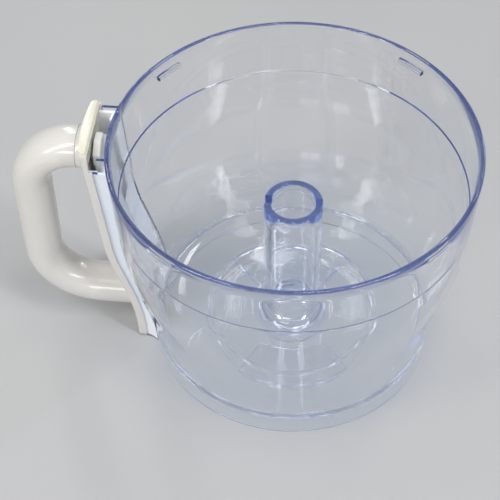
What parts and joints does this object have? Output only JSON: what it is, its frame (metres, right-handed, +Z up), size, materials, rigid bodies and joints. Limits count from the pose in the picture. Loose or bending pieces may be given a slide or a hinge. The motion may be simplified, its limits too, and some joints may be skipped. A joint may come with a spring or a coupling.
{
  "type": "food processor work bowl",
  "caption": "Clear tapered food processor work bowl with a centre drive tube, a D handle on a spine, and a spring-loaded lid interlock rod.",
  "frame": {"origin": "centre of the drive tube's bore, in the plane that the bowl's foot stands on", "axes": "+Z up along the drive tube, -X towards the handle, +Y completes a right-handed frame"},
  "size_m": [0.2591, 0.2024, 0.1538],
  "materials": {
    "clear_plastic": "clear polycarbonate, glossy, faint blue tint",
    "off_white_plastic": "glossy moulded off-white",
    "white_plastic": "semi-gloss white",
    "cream_plastic": "glossy cream",
    "grey_plastic": "satin light grey",
    "dark_plastic": "satin charcoal",
    "steel": "zinc-plated",
    "spring_steel": "drawn wire"
  },
  "bodies": {
    "bowl_body": {"bowl": "clear_plastic", "lock_ring": "clear_plastic", "handle_plate": "off_white_plastic", "grip": "off_white_plastic", "grip_screws": "steel", "rod_housing": "white_plastic", "top_cap": "cream_plastic", "rod_spring": "spring_steel", "rod_guide": "white_plastic", "guide_screws": "steel"},
    "interlock": {"slide_head": "grey_plastic", "push_rod": "white_plastic", "rod_foot": "dark_plastic"}
  },
  "joints": [
    {"name": "interlock_slide", "type": "slide", "parent": "bowl_body", "child": "interlock", "axis": [0, 0, -1], "range_m": [0, 0.008], "stiffness_N_per_m": 400, "springref_m": -0.004, "deforming": ["rod_spring"]}
  ]
}
